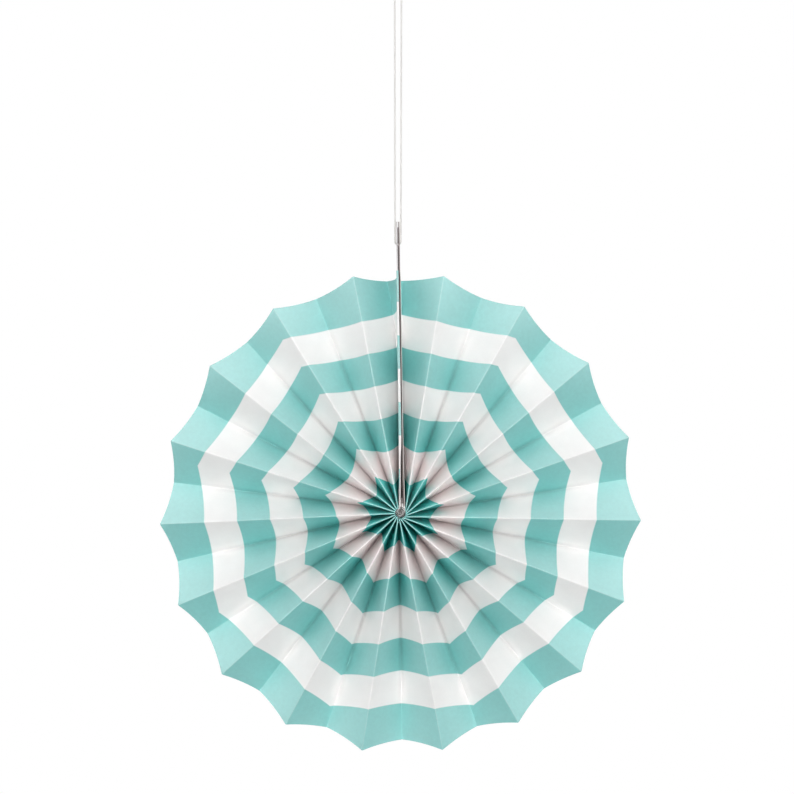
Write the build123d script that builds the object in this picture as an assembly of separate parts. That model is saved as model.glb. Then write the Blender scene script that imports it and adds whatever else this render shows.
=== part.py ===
"""Paper fan rosette: one pleated strip closed to a disc and hung by a string loop.

The fan is modelled about its hub, with the pleats fanning round the Y axis, the ridges towards -Y
and the seam at the top. It is then moved so that the loop's bearing point is the origin.
"""

import os
from functools import partial
from math import acos, asin, atan2, cos, pi, radians, sin, sqrt, tan

from build123d import *

# Driving dimensions of the pleated strip, in millimetres and degrees
fan_diameter = 300.0  # over the points of the rim
pleat_count = 18  # ridges that face the viewer
rim_depth = 12.45  # of the pleats where they are spread most, at the rim
paper_thickness = 0.25
fold_width = 0.42  # flat pressed into each fold
hub_radius = 3.4  # inner edge of the closed-up strip
scallop_depth = 6.0  # from a point of the rim down to the next furrow
sag_angle = 2.0  # the pleats slip down the sides by this much, and crowd at the bottom
flap_bulge = 5.5  # the left end panel's fold stands off its card by this much at the rim
bulge_start = 110.0  # from the hub to where that bulge begins

# Driving dimensions of the seam and its cards
card_thickness = 0.8
card_inset = 0.8  # from the fold to a card's back edge
left_card_recess = 0.2  # from the end panel's front edge to the left card
right_card_recess = 3.0  # from the end panel's front edge to the right card
card_start = 4.6  # from the hub to a card's inner end
tab_height = 31.4  # of a card above the rim's points
tab_flat = 1.2  # left between the rounded corners of the narrower tab
hole_diameter = 4.0
hole_below_top = 14.4
glue_gap = 0.05  # between a card and its end panel
tape_thickness = 0.5  # where the cards are straight; it fills the gap where they bend apart
tape_width = 6.0
tape_behind = 3.0  # from the hole's middle to the tape's front edge
tape_margin = 0.4  # from the cards' inner ends to the tape
tape_below_top = 3.4
seam_lean = 0.85  # the cards lean to the left of the hub's upright
lean_pivot = 70.0  # height above the hub where the leaning seam crosses that upright
hub_flare = 0.6  # each card bends out by this much at the hub
flare_start = 60.0  # from the hub to where that bend ends

# Driving dimensions of the thread and the string
thread_diameter = 0.5
thread_ring_radius = 6.5
thread_clearance = 0.1  # round the thread in the holes it passes
paper_hole_depth = 0.7  # of the pins that make those holes, less than the gap between panels
thread_knot_length = 2.6
knot_clearance = 0.1  # from the thread's knot to the cards
hub_knot_gap = 0.9  # from the paper's inner edge to the large knot in the hub
hub_knot_length = 4.0
hub_knot_bevel = 0.8
hub_knot_depth = 3.0  # of its middle, behind the ring
string_diameter = 1.1
loop_rise = 161.0  # from the tab's hole up to the loop's bearing point
knot_diameter = 3.6
knot_height = 4.4
knot_crown = 1.2  # rounding of the knot's top
knot_base = 0.4  # rounding of the knot's bottom
tail_length = 6.5
tail_splay = 14.0

# The string's route from knot to knot, measured from the loop's bearing point:
# down the left strand, through the tab's hole and up the right strand
string_route = [
    (-0.75, 0, 8.0),
    (-0.75, 0, 5.0),
    (-2.1, 0, -1.0),
    (-1.85, 0, -160.65),
    (1.65, 0, -160.65),
    (2.1, 0, -1.0),
    (0.75, 0, 5.0),
    (0.75, 0, 8.0),
]
arc_share = 0.45  # of the shorter run, taken up by the arc at each corner

# The thread's two tails between the cards, measured from its knot
thread_tails = [
    [(0, -8.0, 2.4), (0, -12.0, 2.8), (0, -12.6, -2.6)],
    [(0, -7.0, -1.6), (0, -11.2, -2.0), (0, -11.6, 0.8)],
]
thread_bend = 0.7  # radius of the tails' bends

# Sizes worked out from the driving dimensions
rim_radius = fan_diameter / 2
furrow_radius = rim_radius - scallop_depth
last_fold = 2 * pleat_count  # folds are counted from 0 at the seam's right side, clockwise
even_pitch = 2 * pi / last_fold
rim_chord = 2 * rim_radius * sin(even_pitch / 2)
panel_width = fold_width + sqrt((rim_chord - fold_width) ** 2 + rim_depth**2)  # fold to fold, 29 mm
half_paper = paper_thickness / 2
half_fold = fold_width / 2
card_inner_x = tape_thickness / 2
card_outer_x = card_inner_x + card_thickness
card_middle_x = (card_inner_x + card_outer_x) / 2
ring_flare = hub_flare * (1 - thread_ring_radius / flare_start) ** 2  # of a card where the thread passes it
flap_x = card_outer_x + glue_gap + half_paper
narrow_card = panel_width - card_inset - right_card_recess
tab_corner = (narrow_card - tab_flat) / 2
tab_top = rim_radius + tab_height
hole_height = tab_top - hole_below_top

# The strip is built too long and then cut to its scallops
trim_margin = 3.0
blank_radius = rim_radius + trim_margin
rim_patch_start = furrow_radius - 2 * trim_margin  # each panel's last patch holds all of its rim
patch_count = 6  # along a panel
square_cut = 0.4  # the cut runs square across a seam fold to this far in front of it

# Sketch planes: seen from the front, with X and Z, and from the right side, with Y and Z
front = Plane(origin=(0, 0, 0), x_dir=(1, 0, 0), z_dir=(0, -1, 0))
side = Plane(origin=(0, 0, 0), x_dir=(0, 1, 0), z_dir=(1, 0, 0))


def seam_x(height):
    """Sideways place of the leaning seam's middle."""
    return tan(radians(seam_lean)) * (lean_pivot - height)


def flap_offset(r):
    """From the seam's middle to the middle of an end panel's paper, which follows its card."""
    return flap_x + hub_flare * max(0.0, 1 - r / flare_start) ** 2


def bulge(r):
    """How far the left end panel's fold stands off its card."""
    return flap_bulge * (max(0.0, r - bulge_start) / (rim_radius - bulge_start)) ** 2


def fold_angle(j, r):
    """Angle of fold j at radius r: the folds share what the seam leaves of the circle."""
    first = asin((flap_offset(r) + seam_x(r)) / r) + half_fold / r
    last = 2 * pi - asin((flap_offset(r) - seam_x(r)) / r) - half_fold / r
    share = j / last_fold
    angle = first + (last - first) * share + radians(sag_angle) * sin(2 * pi * share)
    return angle - bulge(r) / r if j == last_fold else angle


def half_depth(pitch, r):
    """Half the pleat's depth for folds this angle apart, with the panel's width kept."""
    chord = 2 * r * sin(pitch / 2)
    return sqrt((panel_width - fold_width) ** 2 - (chord - fold_width) ** 2) / 2


def even_slope(r):
    """Slope of the panels at radius r, if all were spread evenly."""
    return acos((2 * r * sin(even_pitch / 2) - fold_width) / (panel_width - fold_width))


def slope_radius(slope):
    """Radius at which evenly spread panels have this slope."""
    return ((panel_width - fold_width) * cos(slope) + fold_width) / (2 * sin(even_pitch / 2))


# Stations from hub to rim at even steps of the panels' slope, so that each patch twists alike
steep = even_slope(hub_radius)
shallow = even_slope(rim_patch_start)
shares = [k / (patch_count - 1) for k in range(patch_count)]
radii = [slope_radius(steep + (shallow - steep) * share) for share in shares] + [blank_radius]
seam_depth_hub = half_depth(even_pitch, hub_radius)
seam_depth_rim = half_depth(even_pitch, rim_radius)
seam_slope = (seam_depth_rim - seam_depth_hub) / (rim_radius - hub_radius)


def seam_fold_y(height):
    """Depth of the end panels' folds, which run straight along the stiff cards."""
    return seam_depth_hub + seam_slope * (height - hub_radius)


def fold_y(j, r):
    """Depth of fold j: ridges (odd) stand to the front, furrows (even) to the back."""
    if j in (0, last_fold):
        return seam_fold_y(r)
    pitch = (fold_angle(j + 1, r) - fold_angle(j - 1, r)) / 2
    return half_depth(pitch, r) * (-1 if j % 2 else 1)


def panel_slope(j, r):
    """Slope of the panel between folds j and j + 1; the two end panels stand upright."""
    if j < 0 or j >= last_fold:
        return pi / 2
    run = r * (fold_angle(j + 1, r) - fold_angle(j, r)) - fold_width
    return atan2(abs(fold_y(j + 1, r) - fold_y(j, r)), run)


def fold_points(j, hand, r):
    """Front and back skin points at the left (-1) or right (1) edge of fold j's pressed flat."""
    slope = panel_slope(j if hand > 0 else j - 1, r)
    outside = 1 if j % 2 else -1
    points = []
    for skin in (1, -1):
        reach = half_fold + outside * skin * half_paper * tan(slope / 2)
        angle = fold_angle(j, r) + hand * reach / r
        points.append(Vector(r * sin(angle), fold_y(j, r) - skin * half_paper, r * cos(angle)))
    return points


def flap_points(hand, forward, r):
    """Front and back skin points of the left or right end panel, forward of its fold."""
    points = []
    for skin in (1, -1):
        x = seam_x(r) + hand * (flap_offset(r) + skin * half_paper)
        points.append(Vector(x, seam_fold_y(r) - forward, sqrt(r**2 - x**2)))
    return points


def strip_lines():
    """The lines from hub to rim that bound the strip's faces, in order round the disc."""
    lines = [partial(flap_points, 1, forward) for forward in (panel_width, panel_width / 2)]
    lines += [partial(fold_points, j, hand) for j in range(last_fold + 1) for hand in (-1, 1)]
    lines += [partial(flap_points, -1, forward) for forward in (panel_width / 2, panel_width)]
    return lines


def twisted_patch(corners):
    """Four flat triangles that meet in the middle of a twisted patch of paper."""
    middle = sum(corners, Vector()) / 4
    return [Face(Wire.make_polygon([a, b, middle])) for a, b in zip(corners, corners[1:] + corners[:1])]


def narrow_patch(corners):
    """One face for a patch too narrow to twist, such as a pressed fold or a cut edge."""
    a, b, c, d = corners
    return [Face.make_surface_from_curves(Edge.make_line(a, b), Edge.make_line(d, c))]


def pleated_blank():
    """The folded strip before its rim is cut, in patches between rails from hub to rim."""
    # rails[line][skin][station]
    rails = [list(zip(*[line(r) for r in radii])) for line in strip_lines()]
    faces = []
    for near, far in zip(rails, rails[1:]):
        pressed = (near[0][0] - far[0][0]).length < 2 * fold_width
        make_patch = narrow_patch if pressed else twisted_patch
        for skin in (0, 1):
            for k in range(patch_count):
                corners = [near[skin][k], near[skin][k + 1], far[skin][k + 1], far[skin][k]]
                faces += make_patch(corners)
        for k in (0, patch_count):
            faces += narrow_patch([near[0][k], near[1][k], far[1][k], far[0][k]])
    for end in (rails[0], rails[-1]):
        for k in range(patch_count):
            faces += narrow_patch([end[0][k], end[0][k + 1], end[1][k + 1], end[1][k]])
    return Solid(Shell(faces))


def rim_point(j):
    """Where fold j meets the rim, on the straight run of its last patch, on the front plane."""
    start, end = [Vector(r * sin(fold_angle(j, r)), r * cos(fold_angle(j, r))) for r in radii[-2:]]
    rim = rim_radius if j % 2 else furrow_radius
    return start + (end - start) * ((rim - radii[-2]) / (radii[-1] - radii[-2]))


def scallop_punches():
    """Round punches at the furrows that lie between two ridges."""
    punches = []
    for j in range(2, last_fold, 2):
        arc = ThreePointArc(rim_point(j - 1), rim_point(j), rim_point(j + 1))
        disc = Pos(arc.arc_center) * Circle(arc.radius)
        punches.append(extrude(front * disc, panel_width, both=True))
    return punches


def seam_punch(fold, ridge, hand):
    """Half a scallop from a seam fold out to the ridge beside it, and half across its end panel."""
    low = rim_point(fold)
    high = rim_point(ridge)
    arc = TangentArc(low, high, tangent=(hand, 0))
    outline = make_face([arc, Polyline(high, 2 * high, (low.X, 2 * high.Y), low)])
    punch = extrude(front * outline, panel_width, both=True)

    corner = Vector(seam_fold_y(furrow_radius) - square_cut, low.Y)
    tip = Vector(seam_fold_y(rim_radius) - panel_width, rim_radius)
    arc = TangentArc(corner, tip, tangent=(-1, 0))
    disc = Pos(arc.arc_center) * Circle(arc.radius)
    square = Pos(corner) * Rectangle(2 * trim_margin, 4 * trim_margin, align=(Align.MIN, Align.MIN))
    middle = seam_x(rim_radius)
    beside = side.offset(min(low.X, middle))
    return punch + extrude(beside * (disc + square), abs(low.X - middle))


def thread_ring():
    """An eight-sided ring round the hub, halfway down the pleats."""
    section = Pos(thread_ring_radius, 0) * RegularPolygon(thread_diameter / 2, 8, major_radius=False)
    return revolve(section, Axis.Y)


def thread_hole(angle, depth):
    """A six-sided pin for the needle hole that the thread passes, at an angle from the top."""
    middle = Vector(sin(angle), 0, cos(angle)) * thread_ring_radius
    along = Vector(cos(angle), 0, -sin(angle))
    pin = RegularPolygon(thread_diameter / 2 + thread_clearance, 6, major_radius=False)
    return extrude(Plane(origin=middle, z_dir=along) * pin, depth / 2, both=True)


def pleated_paper():
    """The printed strip: 36 panels round the disc and two end panels at the seam."""
    punches = [seam_punch(0, 1, 1), seam_punch(last_fold, last_fold - 1, -1)]
    angles = [fold_angle(j, thread_ring_radius) for j in range(last_fold + 1)]
    to_flap = half_fold / thread_ring_radius
    middles = [(near + far) / 2 for near, far in zip(angles, angles[1:])]
    middles += [angles[0] - to_flap, angles[-1] + to_flap]
    holes = [thread_hole(angle, paper_hole_depth) for angle in middles]
    return pleated_blank() - scallop_punches() - punches - holes


# The cards are drawn upright and then leant with the seam
seam_place = Pos(0, 0, lean_pivot) * Rot(0, -seam_lean, 0) * Pos(0, 0, -lean_pivot)
card_plane = Plane(
    origin=(0, seam_fold_y(0) - panel_width / 2, 0), x_dir=(0, 1, -seam_slope), z_dir=(1, 0, 0)
)


def seam_section(left, right):
    """A piece of the seam seen edge on, between two faces: straight, then bent out towards the hub."""
    top = tab_top + trim_margin
    outline = [Line((left, top), (right, top))]
    feet = []
    for x in (left, right):
        flare = hub_flare if x > 0 else -hub_flare
        feet.append((x + flare, 0))
        bend = ThreePointArc(feet[-1], (x + flare / 4, flare_start / 2), (x, flare_start))
        outline += [bend, Line((x, flare_start), (x, top))]
    return make_face(outline + [Line(*feet)])


def card_outline(recess):
    """A card seen from the side: a strip with a rounded hanging tab and its hole."""
    width = panel_width - card_inset - recess
    corner = Pos(recess - panel_width / 2, card_start)
    strip = corner * Rectangle(width, tab_top - card_start, align=(Align.MIN, Align.MIN))
    strip = fillet(strip.vertices().group_by(Axis.Y)[-1], tab_corner)
    return strip - Pos(0, hole_height) * Circle(hole_diameter / 2)


def end_card(hand, recess):
    """The stiff strip glued to an end panel."""
    faces = sorted((hand * card_inner_x, hand * card_outer_x))
    bent = extrude(front * seam_section(*faces), 2 * panel_width, both=True)
    cut = extrude(card_plane * card_outline(recess), card_outer_x + 2 * hub_flare, both=True)
    across = seam_x(thread_ring_radius) + hand * (card_middle_x + ring_flare)
    hole = thread_hole(asin(across / thread_ring_radius), 2 * card_thickness)
    return seam_place * (bent & cut) - hole


def seam_tape():
    """The adhesive strip that fills the gap between the two cards, behind the tab's hole."""
    start = card_start + tape_margin
    height = tab_top - tape_below_top - start
    patch = Pos(tape_behind, start) * Rectangle(tape_width, height, align=(Align.MIN, Align.MIN))
    bent = extrude(front * seam_section(-card_inner_x, card_inner_x), 2 * panel_width, both=True)
    return seam_place * (bent & extrude(card_plane * patch, card_outer_x + hub_flare, both=True))


def round_sweep(path, diameter):
    """A round rod along a path."""
    return sweep(Plane(origin=path @ 0, z_dir=path % 0) * Circle(diameter / 2), path=path)


def binding_thread():
    """The ring that draws the panels together, its knot between the cards, its tails and its end.

    The end is wound into a larger knot in the hub, so that it can't slip out.
    """
    height = sqrt(thread_ring_radius**2 - seam_x(thread_ring_radius) ** 2)
    centre = Vector(seam_x(height), 0, height)
    radius = card_inner_x + ring_flare - knot_clearance
    knot = Cylinder(radius, thread_knot_length)
    thread = thread_ring() + Pos(centre) * chamfer(knot.edges(), 0.4 * radius)
    for tail in thread_tails:
        points = [centre] + [centre + Vector(point) for point in tail]
        thread += round_sweep(FilletPolyline(*points, radius=thread_bend), thread_diameter)
    middle = Vector(0, hub_knot_depth, 0)
    thread += round_sweep(Line(centre, middle), thread_diameter)
    barrel = Rot(90, 0, 0) * Cylinder(hub_radius - hub_knot_gap, hub_knot_length)
    return thread + Pos(middle) * chamfer(barrel.edges(), hub_knot_bevel)


def corner_radii(points):
    """The largest arcs that the runs of a route leave room for."""
    vectors = [Vector(point) for point in points]
    result = []
    for before, here, after in zip(vectors, vectors[1:], vectors[2:]):
        turn = radians((here - before).get_angle(after - here))
        shorter = min((here - before).length, (after - here).length)
        result.append(arc_share * shorter / tan(turn / 2))
    return result


def hanging_string():
    """The loop's string, from the knot through the tabs and back to the knot."""
    bends = corner_radii(string_route)
    print("string bend radii", [round(radius, 2) for radius in bends])
    path = FilletPolyline(*string_route, radius=bends)
    string = round_sweep(path, string_diameter)
    plain = pi * string_diameter**2 / 4 * path.length
    print(f"string length {path.length:.1f} mm, volume {string.volume:.2f} of {plain:.2f} mm3")
    return string


def string_knot():
    """The knot that closes the loop, with its two cut tails."""
    base = Vector(0, 0, string_route[0][2])
    barrel = Cylinder(knot_diameter / 2, knot_height, align=(Align.CENTER, Align.CENTER, Align.MIN))
    barrel = fillet(barrel.edges().group_by(Axis.Z)[-1], knot_crown)
    barrel = fillet(barrel.edges().group_by(Axis.Z)[0], knot_base)
    knot = Pos(base) * barrel
    for strand in (string_route[0], string_route[-1]):
        foot = Pos(strand[0], 0, base.Z + knot_height / 2)
        lean = Rot(0, tail_splay if strand[0] > 0 else -tail_splay, 0)
        rod = Cylinder(
            string_diameter / 2, knot_height / 2 + tail_length, align=(Align.CENTER, Align.CENTER, Align.MIN)
        )
        knot += foot * lean * rod
    return knot


hole = seam_place * Pos(card_plane.from_local_coords((0, hole_height, 0)))
fan_place = Pos(-hole.position.X, -hole.position.Y, -loop_rise - hole.position.Z)

fan_parts = {
    "pleated_paper": pleated_paper(),
    "left_end_card": end_card(-1, left_card_recess),
    "right_end_card": end_card(1, right_card_recess),
    "seam_tape": seam_tape(),
    "binding_thread": binding_thread(),
}
parts = {name: fan_place * part for name, part in fan_parts.items()}
parts["hanging_string"] = hanging_string()
parts["string_knot"] = string_knot()

os.makedirs("parts", exist_ok=True)
for name, part in parts.items():
    export_step(part, f"parts/{name}.step")
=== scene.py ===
"""Paper fan rosette: printed pleats, cards, thread and string round the CAD frame, in a white studio.

The fan turns about its hub: pleats run round the Y axis, ridges face -Y and the seam is at the top.
Angles start at the top and run clockwise seen from the front. All lengths are in metres.
"""

from math import asin, ceil, cos, pi, radians, sin, sqrt, tan

import bmesh
import bpy
import numpy as np
from bpy.props import FloatProperty, FloatVectorProperty, IntProperty, PointerProperty
from mathutils import Matrix, Vector


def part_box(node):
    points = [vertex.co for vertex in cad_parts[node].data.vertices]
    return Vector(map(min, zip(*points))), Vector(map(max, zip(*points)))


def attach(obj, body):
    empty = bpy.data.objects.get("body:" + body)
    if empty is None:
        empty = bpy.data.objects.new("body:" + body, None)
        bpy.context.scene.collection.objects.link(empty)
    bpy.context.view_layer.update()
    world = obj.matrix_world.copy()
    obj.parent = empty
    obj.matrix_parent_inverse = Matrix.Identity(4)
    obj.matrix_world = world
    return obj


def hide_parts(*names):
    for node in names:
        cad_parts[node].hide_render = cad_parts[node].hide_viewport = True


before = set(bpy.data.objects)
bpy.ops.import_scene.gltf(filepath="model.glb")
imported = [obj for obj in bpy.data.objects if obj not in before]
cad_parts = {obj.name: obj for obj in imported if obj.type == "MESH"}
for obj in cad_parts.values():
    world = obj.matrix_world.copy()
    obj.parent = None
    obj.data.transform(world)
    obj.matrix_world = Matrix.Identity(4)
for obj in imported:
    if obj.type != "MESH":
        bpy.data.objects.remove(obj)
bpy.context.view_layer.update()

bl_info = {
    "name": "Paper Fan Rosette",
    "version": (1, 0, 0),
    "blender": (4, 5, 0),
    "location": "3D View > Sidebar > Paper Fan",
    "description": "Builds a hanging paper fan rosette in a white studio",
    "category": "Add Mesh",
}

MM = 0.001


def linear(hex_colour):
    """An sRGB hex colour as three linear values."""
    parts = [int(hex_colour[i : i + 2], 16) / 255 for i in (1, 3, 5)]
    return tuple(c / 12.92 if c <= 0.04045 else ((c + 0.055) / 1.055) ** 2.4 for c in parts)


def length(name, description, millimetres):
    """A size that a user can change, given in millimetres."""
    return FloatProperty(
        name=name, description=description, default=millimetres * MM, unit="LENGTH", precision=5
    )


def angle(name, description, degrees):
    """An angle that a user can change, given in degrees."""
    return FloatProperty(name=name, description=description, default=radians(degrees), subtype="ANGLE")


def watts(name, description, power):
    """A lamp's power that a user can change."""
    return FloatProperty(name=name, description=description, default=power, unit="POWER")


def colour(name, description, hex_colour):
    """A colour that a user can change, given as sRGB hex."""
    return FloatVectorProperty(
        name=name, description=description, default=linear(hex_colour), subtype="COLOR", min=0, max=1
    )


class FanSizes(bpy.types.PropertyGroup):
    """Sizes of the pleated strip, the same as the CAD part's."""

    pleat_count: IntProperty(name="Pleats", description="Ridges that face the viewer", default=18)
    panel_width: length("Panel width", "Fold to fold on the flat strip", 29)
    paper_thickness: length("Paper thickness", "Thickness of the printed sheet", 0.25)
    fold_width: length("Fold width", "Flat pressed into each fold", 0.42)
    hub_radius: length("Hub radius", "Inner edge of the closed-up strip", 3.4)
    rim_radius: length("Rim radius", "From the hub to the points of the rim", 150)
    scallop_depth: length("Scallop depth", "From a point of the rim to the next furrow", 6)
    sag_angle: angle("Sag", "How far the pleats slip down the sides", 2)
    flap_offset: length("End panel offset", "From the seam's middle to an end panel", 1.225)
    flap_bulge: length("Bulge", "How far the left end panel's fold stands off its card", 7)
    bulge_start: length("Bulge start", "From the hub to where the bulge begins", 90)
    lip_width: length("Lip", "How far the left end panel's front edge curls over its card", 1.2)
    lip_wide: length("Wide lip", "The same further in, where it comes closer to the other card", 1.4)
    lip_narrows: length("Lip narrows", "From the hub to where the lip begins to narrow", 90)
    lip_start: length("Lip start", "From the hub to where that edge begins to curl", 15)
    lip_full: length("Lip full", "From the hub to where it has curled all the way", 45)
    seam_rise: length("Seam rise", "How much further out the rim is at the seam", 1.3)
    seam_lean: angle("Seam lean", "How far the cards lean to the left", 0.85)
    lean_pivot: length("Lean pivot", "Height where the leaning seam is over the hub", 70)
    hub_flare: length("Hub flare", "How far each end panel bends out at the hub", 0.6)
    flare_start: length("Flare start", "From the hub to where that bend ends", 60)
    hole_height: length("Hole height", "From the hub up to the hole in the tabs", 167)
    card_bevel: length("Card edge", "Rounding of the cards' cut edges", 0.1)
    panel_bow: length("Panel bow", "How far a panel bows out of flat at the rim", 0.5)


class PrintSizes(bpy.types.PropertyGroup):
    """Sizes of the printed bands on the flat strip, and of the painted light and shade on it."""

    scallop_count: IntProperty(name="Scallops", description="Arcs of a band along the strip", default=9)
    first_edge: length("First edge", "From the hub to the cusps of the outermost band's inner edge", 130.8)
    band_width: length("Band width", "Width of each band", 20.6)
    dip: length("Dip", "From the cusps of a band's edge to the lowest points between them", 9.3)
    soft_edge: length("Soft edge", "Blur of the ink's edge", 0.35)
    # where the ink turns to the painted shade ink of the hub; the ridges' painted highlight also grows
    # from here
    deep_start: length("Deep start", "From the hub to where the ink begins to lie thicker", 60)
    deep_full: length("Deep full", "From the hub to where it lies thickest", 20)
    # painted light: where the bare sheet turns lighter and pinker towards the hub
    painted_light_start: length("Warm start", "From the hub to where the bare sheet begins to look warmer", 75)
    painted_light_full: length("Warm full", "From the hub to where it looks warmest", 25)
    # ridges: cracked, worn ink, with a painted highlight added that grows towards the hub
    wear_and_highlight_reach: length("Wear reach", "From a ridge to where its ink is whole", 0.36)
    wear_and_highlight_full: length("Wear full", "From a ridge to where its ink is most worn", 0.12)
    wear_and_highlight_inner: length("Wear inner", "From the hub to where ridges are worn most", 15)
    # painted shade along the furrows: how far it reaches from a furrow, and where it grows towards the hub
    furrow_shade_reach: length("Dull reach", "From a furrow to where its dullness ends", 4.5)
    furrow_shade_start: length("Dull start", "From the hub to where furrows begin to look dull", 138)
    furrow_shade_full: length("Dull full", "From the hub to where they look dullest", 85)


class FanColours(bpy.types.PropertyGroup):
    """Colours of the object."""

    mint_ink: colour("Mint ink", "Ink of the printed bands", "#79C3C0")
    # painted shade: a darker, more saturated ink towards the hub, for the shade deep in the pleats
    hub_shade_ink: colour("Deep ink", "Ink of the innermost band, where it lies thicker", "#0AC0BA")
    white_paper: colour("White paper", "Bare front of the sheet", "#F1EFEE")
    # painted light: paper near the hub is lighter and pinker, to lift the shade in the deep pleats and
    # tint it pink
    painted_light_paper: colour("Warm paper", "Bare front of the sheet close to the hub", "#FBF0EF")
    paper_back: colour("Paper back", "Unprinted back and cut edges of the sheet", "#ECEAE6")
    white_card: colour("White card", "Strips at the seam", "#EAE4E4")
    pale_edge: colour("Pale edge", "Cut edges of the left strip", "#D2CBCD")
    # the right card's cut edges are dark grey-brown, far darker than the left card's
    grey_edge: colour("Grey edge", "Cut edges of the right strip", "#857876")
    # the tape is real, its dark tone is painted shade for the gap between the cards
    tape: colour("Tape", "Adhesive strip between the cards", "#8A7E7C")
    thread: colour("Thread", "Binding thread at the hub", "#DED3CF")
    string: colour("String", "Hanging string", "#EDEBE7")


class TwistSizes(bpy.types.PropertyGroup):
    """Sizes of the string and the binding thread."""

    string_diameter: length("String", "Thickness of the hanging string", 1.1)
    string_lay: length("String lay", "Length of one turn of the string's plies", 4.2)
    thread_diameter: length("Thread", "Thickness of the binding thread", 0.5)
    thread_lay: length("Thread lay", "Length of one turn of the thread's plies", 1.9)
    ring_radius: length("Ring radius", "From the hub's axis to the binding thread", 6.5)
    hub_knot_radius: length("Hub knot radius", "Outside of the thread's large knot in the hub", 3.2)
    hub_knot_length: length("Hub knot length", "Length of that knot", 4)
    hub_knot_depth: length("Hub knot depth", "From the thread's ring back to that knot's middle", 3)
    knot_radius: length("Knot radius", "Outside of the knot that closes the loop", 1.8)
    knot_height: length("Knot height", "Height of that knot", 4.4)
    tail_length: length("Tail length", "Cut ends of the string above the knot", 6.5)


class StudioSettings(bpy.types.PropertyGroup):
    """The camera and the light."""

    camera_distance: length("Camera distance", "From the camera to the rim's points", 1200)
    view_width: length("View width", "Width of the picture at the rim's points", 494.9)
    view_centre_x: length("View centre X", "Sideways place of the picture's middle", -0.68)
    view_centre_z: length("View centre Z", "Height of the picture's middle", -255.6)
    floor_drop: length("Floor drop", "From the object's lowest point to the floor", 250)
    key_power: watts("Key", "Power of the soft light above", 2)
    fill_power: watts("Fill", "Power of the soft light in front", 11)
    back_power: watts("Back", "Power of the soft light behind", 14)
    bounce_power: watts("Bounce", "Power of the soft light below", 4)
    sheen_power: watts("Sheen", "Power of a panel that shows only in reflections", 92)
    sky_strength: FloatProperty(name="Sky", description="Light from all round", default=0.36)
    background: colour("Background", "What is seen behind the fan", "#FFFFFF")
    floor_colour: colour("Floor", "Plain floor that takes the shadow", "#E7E7E7")


# The string's route from knot to knot, measured from the loop's bearing point, as in the CAD part:
# down the left strand, through the tab's hole and up the right strand
STRING_ROUTE = [
    (-0.75, 0, 8.0),
    (-0.75, 0, 5.0),
    (-2.1, 0, -1.0),
    (-1.85, 0, -160.65),
    (1.65, 0, -160.65),
    (2.1, 0, -1.0),
    (0.75, 0, 5.0),
    (0.75, 0, 8.0),
]
STRING_BEND = 0.45  # share of the shorter run that the arc at each corner takes up

# The binding thread's two tails, measured from its knot, as in the CAD part
THREAD_TAILS = [
    [(0, -8.0, 2.4), (0, -12.0, 2.8), (0, -12.6, -2.6)],
    [(0, -7.0, -1.6), (0, -11.2, -2.0), (0, -11.6, 0.8)],
]
THREAD_BEND = 0.3  # share of the shorter run that a tail's bend takes up

# The small knot on the binding thread's ring
KNOT_TURNS = 2.4
KNOT_WIND = 0.13 * MM  # radius that its turns are wound on
KNOT_PITCH = 0.32 * pi * MM  # from turn to turn
KNOT_START = 1.2 * MM  # from its front end back to the ring
WIND_STEP = 0.15  # radians from point to point of the large knot in the hub

# Panels reflected in the paper, from the hub: sideways, upwards, and each one's share of the power
SHEEN_PANELS = [(0.0, 1.0, 1.1), (-0.95, 0.35, 1.0), (0.95, 0.35, 0.9)]

# The lamps' names, power settings, sizes and places from the hub
LAMPS = [
    ("key_light", "key_power", 1.3, (-0.2, -0.95, 1.15)),
    ("fill_light", "fill_power", 1.6, (0.3, -1.9, 0.3)),
    ("back_light", "back_power", 1.6, (-0.3, 1.9, 0.5)),
    ("bounce_light", "bounce_power", 1.3, (0.1, -0.95, -1.15)),
]

# Sizes of the patterns in the materials
CLOUD_SIZE = 14 * MM  # cloudiness of a sheet of paper
FIBRE_SIZE = 1.1 * MM  # paper fibres; real ones are finer, these are drawn coarse enough to show
MOTTLE_SIZE = 2.6 * MM  # unevenness of the ink
CRACK_SIZE = 0.9 * MM  # cracks in the ink along a ridge
LAYER_SIZE = 1.4 * MM  # layers of board
CELL_SIZE = 0.5 * MM  # cells of foam tape

# Bands are counted inwards from the first edge: where the counting starts and stops
FIRST_BAND = -0.5
LAST_BAND = 5.5

# Settings that many shading steps share
SMOOTH = {"interpolation_type": "SMOOTHSTEP"}
MIX_COLOURS = {"data_type": "RGBA"}
MULTIPLY_COLOURS = {"data_type": "RGBA", "blend_type": "MULTIPLY"}

# How finely the pleats are meshed
FOLD_STEPS = 3  # along each rounded edge of a fold
PANEL_STEPS = 6  # across a panel
LIP_STEPS = 3  # across the curled lip
LIP_TURN = 0.15 * MM  # from where the sheet begins to turn to its front edge
LIP_RISE = 0.02 * MM  # how much further forward each step of the lip is
LIP_FIRST = 0.15  # share of the lip's width at the front edge
RADIAL_STEPS = 58  # from hub to rim


def hub_place():
    """Middle of the hub: the thread's ring is round it, and the tab's hole gives its depth."""
    low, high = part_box("binding_thread")
    pleats = Pleats(bpy.context.scene.fan_sizes)
    tilt = pleats.seam_slope / sqrt(1 + pleats.seam_slope**2)
    depth = pleats.s.panel_width / 2 - pleats.seam_fold_y(0) - pleats.s.hole_height * tilt
    return Vector(((low[0] + high[0]) / 2, depth, low[2] + (high[0] - low[0]) / 2))


def share_between(value, low, high):
    """How far a value is on its way from low to high, from 0 to 1."""
    return min(1.0, max(0.0, (value - low) / (high - low)))


def spread(seed):
    """A repeatable number from -1 to 1 for each seed."""
    return 2 * ((sin(seed * 12.9898) * 43758.5453) % 1) - 1


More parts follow.
